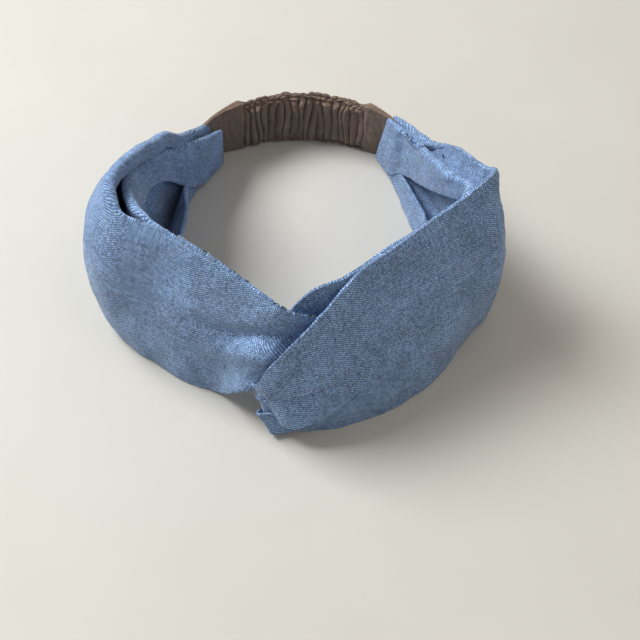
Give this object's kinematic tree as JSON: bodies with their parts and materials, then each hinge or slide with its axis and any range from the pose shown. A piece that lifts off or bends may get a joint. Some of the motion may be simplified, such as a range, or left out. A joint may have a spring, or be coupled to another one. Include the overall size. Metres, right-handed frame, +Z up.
{
  "type": "knotted headband",
  "caption": "Wide chambray headband standing in a ring: two cloth bands hooked through each other in a front knot, joined behind by a gathered elastic casing.",
  "frame": {"origin": "bottom centre of the ring's bounding box, on the surface it stands on", "axes": "+Z up through the ring, -Y towards the front knot, +Y towards the gathered elastic casing, +X to the right band"},
  "size_m": [0.1887, 0.1894, 0.094],
  "materials": {
    "chambray": "matte plain weave, blue warp and pale weft",
    "taupe_cotton": "fine plain weave with a faint sheen",
    "elastic_webbing": "braided flat elastic",
    "blue_thread": "spun sewing thread",
    "brown_thread": "spun sewing thread"
  },
  "bodies": {
    "left_half": {"left_band": "chambray", "elastic_casing": "taupe_cotton", "elastic_strip": "elastic_webbing", "left_end_stitching": "blue_thread", "left_band_seam_thread": "blue_thread", "casing_seam_thread": "brown_thread"},
    "right_half": {"right_band": "chambray", "right_end_stitching": "blue_thread", "right_band_seam_thread": "blue_thread"}
  },
  "joints": [
    {"name": "elastic_stretch", "type": "hinge", "parent": "left_half", "child": "right_half", "pos_m": [0, -0.075, 0], "axis": [0, 0, -1], "range_deg": [0, 20], "stiffness_Nm_per_rad": 1.4, "deforming": ["left_band", "right_band", "elastic_casing", "elastic_strip", "left_band_seam_thread", "right_band_seam_thread", "casing_seam_thread"]}
  ]
}
